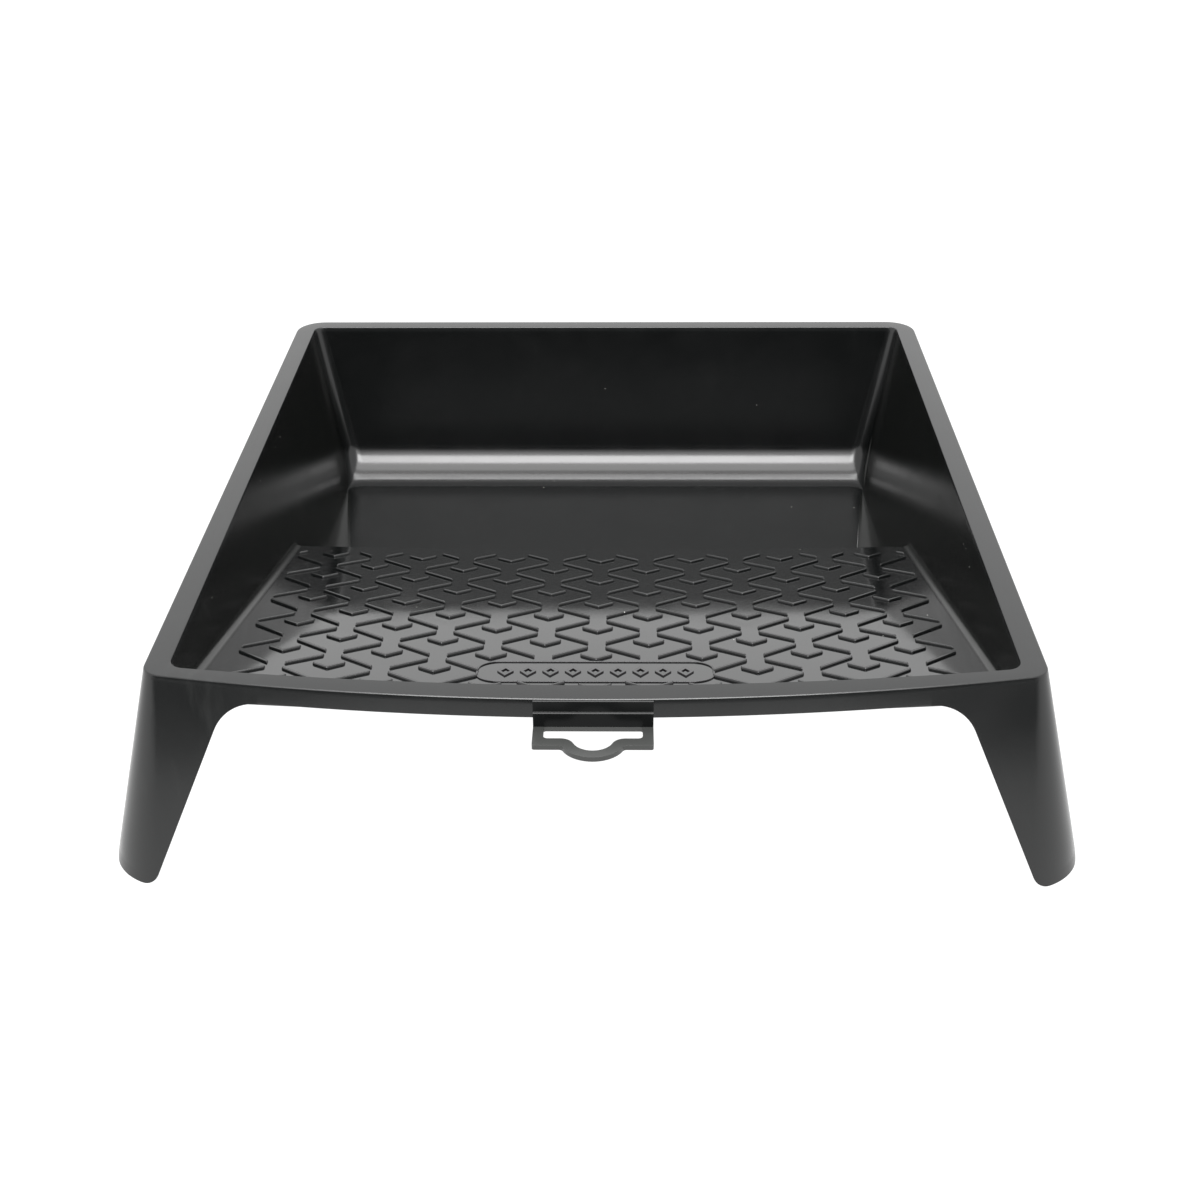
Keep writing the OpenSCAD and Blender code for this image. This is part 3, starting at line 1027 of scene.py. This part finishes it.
def linear(code):
    """An sRGB hex colour as linear values."""
    parts = [int(code[i:i + 2], 16) / 255 for i in (1, 3, 5)]
    return [p / 12.92 if p <= 0.04045 else ((p + 0.055) / 1.055) ** 2.4 for p in parts] + [1.0]


def add_node(tree, kind, inputs=None, **settings):
    """Adds a node; an input is a value, or another node's output to link."""
    item = tree.nodes.new(kind)
    for key, value in settings.items():
        setattr(item, key, value)
    for socket, value in (inputs or {}).items():
        if isinstance(value, bpy.types.NodeSocket):
            tree.links.new(value, item.inputs[socket])
        else:
            item.inputs[socket].default_value = value
    return item


def polypropylene(name, code, roughness, grain, waves, dust, scuffs, specular=0.5, painted_light_near_floor=0.0):
    """Moulded black plastic. grain and waves are heights in mm; dust, scuffs and the painted light near
    the floor are shares.
    """
    material = bpy.data.materials.new(name)
    material.use_nodes = True
    tree = material.node_tree
    tree.nodes.clear()
    place_on = add_node(tree, "ShaderNodeTexCoord").outputs["Object"]

    # a cooled moulding is slightly wavy: sink marks 30 mm apart
    wave = add_node(tree, "ShaderNodeTexNoise", {
        "Vector": place_on, "Scale": 1 / 0.030, "Detail": 1.0,
    })
    rolling = add_node(tree, "ShaderNodeBump", {
        "Strength": 1.0, "Distance": waves * MM, "Height": wave.outputs["Fac"],
    })
    # fine texture of the steel mould, drawn at 0.5 mm so that it shows
    fine = add_node(tree, "ShaderNodeTexNoise", {
        "Vector": place_on, "Scale": 1 / 0.0005, "Detail": 2.0,
    })
    surface = add_node(tree, "ShaderNodeBump", {
        "Strength": 1.0, "Distance": grain * MM, "Height": fine.outputs["Fac"],
        "Normal": rolling.outputs["Normal"],
    })

    # dust specks about 0.35 mm across: only some of the 5 mm cells hold one
    cells = add_node(tree, "ShaderNodeTexVoronoi", {"Vector": place_on, "Scale": 1 / 0.005})
    chance = add_node(tree, "ShaderNodeSeparateColor", {"Color": cells.outputs["Color"]})
    holds = add_node(tree, "ShaderNodeMath", {
        0: chance.outputs["Red"], 1: 1 - dust,
    }, operation="GREATER_THAN")
    size = add_node(tree, "ShaderNodeMapRange", {
        "Value": cells.outputs["Distance"], "From Min": 0.02, "From Max": 0.05,
        "To Min": 1.0, "To Max": 0.0,
    })
    speck = add_node(tree, "ShaderNodeMath", {
        0: holds.outputs["Value"], 1: size.outputs["Result"],
    }, operation="MULTIPLY")

    # scuffed patches 45 mm apart, made of streaks 4 mm across, 11 mm along and 30 mm up the tray
    run = add_node(tree, "ShaderNodeMapping", {
        "Vector": place_on, "Scale": (1 / 0.004, 1 / 0.011, 1 / 0.030),
    })
    lines = add_node(tree, "ShaderNodeTexNoise", {
        "Vector": run.outputs["Vector"], "Scale": 1.0, "Detail": 4.0,
    })
    patch = add_node(tree, "ShaderNodeTexNoise", {
        "Vector": place_on, "Scale": 1 / 0.045, "Detail": 1.0,
    })
    where = add_node(tree, "ShaderNodeMapRange", {
        "Value": patch.outputs["Fac"], "From Min": 0.52, "From Max": 0.72,
        "To Min": 0.0, "To Max": 1.0,
    })
    worn = add_node(tree, "ShaderNodeMapRange", {
        "Value": lines.outputs["Fac"], "From Min": 0.55, "From Max": 0.75,
        "To Min": 0.0, "To Max": scuffs,
    })
    scuff = add_node(tree, "ShaderNodeMath", {
        0: where.outputs["Result"], 1: worn.outputs["Result"],
    }, operation="MULTIPLY")

    # painted light: the colour is lighter towards the floor, standing in for the light that the lower
    # legs and skirt catch
    height = add_node(tree, "ShaderNodeSeparateXYZ", {"Vector": place_on})
    low = add_node(tree, "ShaderNodeMapRange", {
        "Value": height.outputs["Z"], "From Min": 0.0, "From Max": 0.062,
        "To Min": painted_light_near_floor, "To Max": 0.0,
    })
    scuffs_and_painted_light = add_node(tree, "ShaderNodeMath", {
        0: scuff.outputs["Value"], 1: low.outputs["Result"],
    }, operation="ADD")

    # scuffs and the painted light near the floor take the base colour towards grey, and specks of dust
    # lie on top
    body = add_node(tree, "ShaderNodeMix", {
        "Factor": scuffs_and_painted_light.outputs["Value"], 6: linear(code), 7: linear("#6d6e6c"),
    }, data_type="RGBA")
    colour = add_node(tree, "ShaderNodeMix", {
        "Factor": speck.outputs["Value"], 6: body.outputs[2], 7: linear("#c9c8c2"),
    }, data_type="RGBA")
    # the gloss varies a little in 18 mm clouds, and scuffs dull it
    rub = add_node(tree, "ShaderNodeTexNoise", {"Vector": place_on, "Scale": 1 / 0.018, "Detail": 3.0})
    gloss = add_node(tree, "ShaderNodeMapRange", {
        "Value": rub.outputs["Fac"], "From Min": 0.3, "From Max": 0.7,
        "To Min": roughness - 0.02, "To Max": roughness + 0.03,
    })
    dull = add_node(tree, "ShaderNodeMath", {
        0: scuff.outputs["Value"], 1: 0.5, 2: gloss.outputs["Result"],
    }, operation="MULTIPLY_ADD")
    shader = add_node(tree, "ShaderNodeBsdfPrincipled", {
        "Base Color": colour.outputs[2],
        "Roughness": dull.outputs["Value"],
        "IOR": 1.5,
        "Specular IOR Level": specular,
        "Normal": surface.outputs["Normal"],
    })
    add_node(tree, "ShaderNodeOutputMaterial", {"Surface": shader.outputs["BSDF"]})
    return material


# Injection-moulded polypropylene: near black, with a soft gloss that mirrors bright surroundings
# at low angles. Three of the finishes paint light or shade: darker copies for the side walls, the well
# floor and the tab's upright, and a lighter one for the hanging plate. The side walls' scuffs are a guess
# from how that finish looks.
# On the outside, the mould's grain softens what it mirrors, and painted light makes the feet lighter.
outer_finish = polypropylene(
    "injection-moulded polypropylene, grained outside", "#0d0e0e",
    roughness=0.2, grain=0.006, waves=0.05, dust=0.05, scuffs=0.03, painted_light_near_floor=0.02,
)
# the deep end wall is darker and less scuffed, so its bent foot shows a clean line of light
end_finish = polypropylene(
    "injection-moulded polypropylene, glossy deep end wall", "#070808",
    roughness=0.18, grain=0.004, waves=0.05, dust=0.05, scuffs=0.015,
)
# painted shade: the side walls get a copy that mirrors about half as much, so light leaves only a faint
# streak on them; their scuffs and dust are wear
side_wear_and_painted_shade_finish = polypropylene(
    "injection-moulded polypropylene, rubbed side walls", "#0b0c0b",
    roughness=0.2, grain=0.004, waves=0.05, dust=0.07, scuffs=0.05, specular=0.28,
)
# painted shade: the well floor and the tab's upright get a darker copy that mirrors least, so they stay
# dark beside brighter neighbours
painted_shade_finish = polypropylene(
    "injection-moulded polypropylene, dulled by use", "#080909",
    roughness=0.22, grain=0.004, waves=0.05, dust=0.05, scuffs=0.02, specular=0.13,
)
# the ramp is the glossiest: a clear mirror, and from the front dark at its far, low end and bright nearer
ramp_finish = polypropylene(
    "injection-moulded polypropylene, glossy ramp", "#070808",
    roughness=0.07, grain=0.002, waves=0.06, dust=0.06, scuffs=0.03,
)
# the ribs are a little softer, so their rounded edges draw lines against the ramp
rib_finish = polypropylene(
    "injection-moulded polypropylene, raised ribs", "#0b0c0c",
    roughness=0.14, grain=0.002, waves=0.03, dust=0.04, scuffs=0.04,
)
# painted light: the level hanging plate is a lighter, duller grey than the rest, standing in for the
# light on its upturned face
painted_light_tab_finish = polypropylene(
    "injection-moulded polypropylene, rubbed hanging tab", "#2d2e2d",
    roughness=0.3, grain=0.006, waves=0.05, dust=0.05, scuffs=0.05,
)

make_rim(outer_finish)
make_skirt(outer_finish)
make_legs(outer_finish)
# the side walls and the well floor take finishes with painted shade
make_basin(outer_finish, side_wear_and_painted_shade_finish, end_finish, painted_shade_finish, ramp_finish)
make_ribs(rib_finish)
# the tab's upright takes the darker copy, painted shade
make_upright(painted_shade_finish)
# the hanging plate takes the lighter copy, painted light
make_plate(painted_light_tab_finish)


# ---- studio

def make_floor():
    """A table that glows evenly, so the tray stands on almost no shadow."""
    bm = bmesh.new()
    bmesh.ops.create_grid(bm, x_segments=1, y_segments=1, size=6)
    mesh = bpy.data.meshes.new("studio_table")
    bm.to_mesh(mesh)
    bm.free()
    material = bpy.data.materials.new("lit opal acrylic")
    material.use_nodes = True
    shader = material.node_tree.nodes["Principled BSDF"]
    shader.inputs["Base Color"].default_value = linear("#3c3c3c")
    shader.inputs["Roughness"].default_value = 0.9
    shader.inputs["Specular IOR Level"].default_value = 0.0
    shader.inputs["Emission Color"].default_value = linear("#ffffff")
    shader.inputs["Emission Strength"].default_value = 1.1
    mesh.materials.append(material)
    floor = bpy.data.objects.new("studio_table", mesh)
    bpy.context.scene.collection.objects.link(floor)


def make_softbox(name, distance, elevation, width, height, radiance):
    """A white rectangle of light that faces the tray, from an elevation in degrees.

    0 is level with the tray in front of it, 90 is overhead, and more than 90 is behind it.
    """
    data = bpy.data.lights.new(name, "AREA")
    data.shape = "RECTANGLE"
    data.size = width
    data.size_y = height
    data.energy = radiance * math.pi * width * height
    box = bpy.data.objects.new(name, data)
    bpy.context.scene.collection.objects.link(box)
    box.visible_camera = False
    up = math.radians(elevation)
    away = Vector((0, -math.cos(up), math.sin(up)))
    turn = away.to_track_quat("Z", "Y").to_matrix().to_4x4()
    box.matrix_world = Matrix.Translation(away * distance) @ turn


def make_flag(name, corners):
    """A dark card that shows only where the tray mirrors it."""
    bm = bmesh.new()
    bm.faces.new([bm.verts.new(corner) for corner in corners])
    mesh = bpy.data.meshes.new(name)
    bm.to_mesh(mesh)
    bm.free()
    material = bpy.data.materials.new("black card")
    material.use_nodes = True
    shader = material.node_tree.nodes["Principled BSDF"]
    shader.inputs["Base Color"].default_value = linear("#1c1c1c")
    shader.inputs["Roughness"].default_value = 1.0
    shader.inputs["Specular IOR Level"].default_value = 0.0
    mesh.materials.append(material)
    flag = bpy.data.objects.new(name, mesh)
    bpy.context.scene.collection.objects.link(flag)
    flag.visible_camera = False
    flag.visible_diffuse = False
    flag.visible_shadow = False


def make_light():
    world = bpy.data.worlds.new("white studio")
    bpy.context.scene.world = world
    world.use_nodes = True
    background = world.node_tree.nodes["Background"]
    background.inputs["Color"].default_value = (1, 1, 1, 1)
    background.inputs["Strength"].default_value = 1.4
    make_softbox("wide softbox", 1.8, 47, 1.6, 1.22, 2.5)
    make_softbox("front softbox", 1.7, 53.5, 0.95, 0.75, 13.5)
    make_softbox("top softbox", 2.0, 78.5, 1.6, 0.90, 4.5)
    make_softbox("rear panel", 2.0, 96.5, 1.6, 0.38, 1.6)
    make_softbox("rear strip", 2.0, 108.5, 1.6, 0.24, 9.0)
    # the dark room in front, low down, which the rear wall mirrors
    make_flag("front flag", [(-3, -1.9, 0), (3, -1.9, 0), (3, -1.9, 0.75), (-3, -1.9, 0.75)])
    # a dark patch of floor to each side in front, which the tops of the legs mirror
    for name, side in (("left floor flag", -1), ("right floor flag", 1)):
        near = 0.30 * side
        far = 0.8 * side
        corners = ((near, -0.40), (far, -0.40), (far, -0.95), (near, -0.95))
        make_flag(name, [(x, y, 0.001) for x, y in corners])


def make_camera():
    data = bpy.data.cameras.new("camera")
    data.sensor_width = 36
    data.lens = 54.78
    data.clip_start = 0.01
    data.clip_end = 50
    pitch, yaw, roll = [math.radians(a) for a in (28.47, -0.95, 0.37)]
    level = math.cos(pitch)
    ahead = Vector((math.sin(yaw) * level, math.cos(yaw) * level, -math.sin(pitch)))
    right = Vector((math.cos(yaw), -math.sin(yaw), 0))
    down = ahead.cross(right)
    across = math.cos(roll) * right + math.sin(roll) * down
    up = math.sin(roll) * right - math.cos(roll) * down
    turn = Matrix((across, up, -ahead)).transposed().to_4x4()
    camera = bpy.data.objects.new("camera", data)
    bpy.context.scene.collection.objects.link(camera)
    camera.matrix_world = Matrix.Translation(place((10.75, -514.8, RIM_TOP + 307.9))) @ turn
    bpy.context.scene.camera = camera


make_floor()
make_light()
make_camera()
bpy.context.scene.view_settings.view_transform = "Standard"
